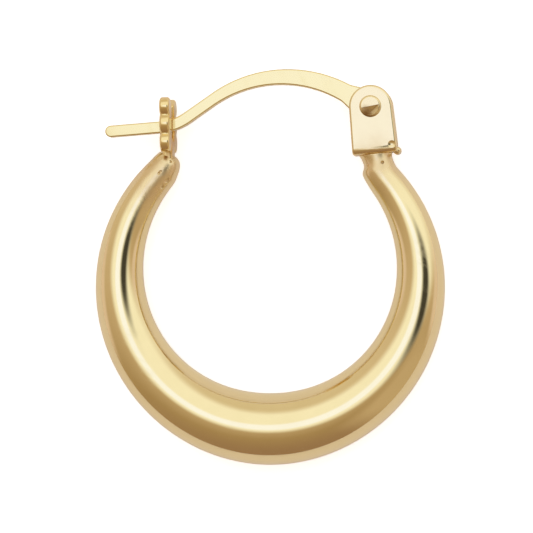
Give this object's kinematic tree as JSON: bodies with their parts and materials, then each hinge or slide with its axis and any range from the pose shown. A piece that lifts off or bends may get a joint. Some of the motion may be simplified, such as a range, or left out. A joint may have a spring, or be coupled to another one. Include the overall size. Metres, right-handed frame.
{
  "type": "creole hoop earring",
  "caption": "Small hollow hoop earring, thick at the bottom and tapered to both ends, with an arched ear wire on a riveted hinge that closes into a slotted catch plate.",
  "frame": {"origin": "middle of the box's underside: the hoop lies on its side on the surface, which is the plane z = 0", "axes": "+Z along the hoop's axis, away from the surface; +Y from the thick bottom of the hoop towards the ear wire; +X from the catch towards the hinge"},
  "size_m": [0.015, 0.017, 0.0031],
  "materials": {
    "hoop_gold": "polished 9 carat yellow gold",
    "finding_gold": "polished 9 carat yellow gold, a little paler"
  },
  "bodies": {
    "hoop": {"hoop_body": "hoop_gold", "hinge_rivet": "finding_gold"},
    "wire": {"ear_wire": "finding_gold"}
  },
  "joints": [
    {"name": "wire_hinge", "type": "hinge", "parent": "hoop", "child": "wire", "pos_m": [0.00437, 0.00682, 0.00153], "axis": [0, 0, -1], "range_deg": [0, 90]}
  ]
}
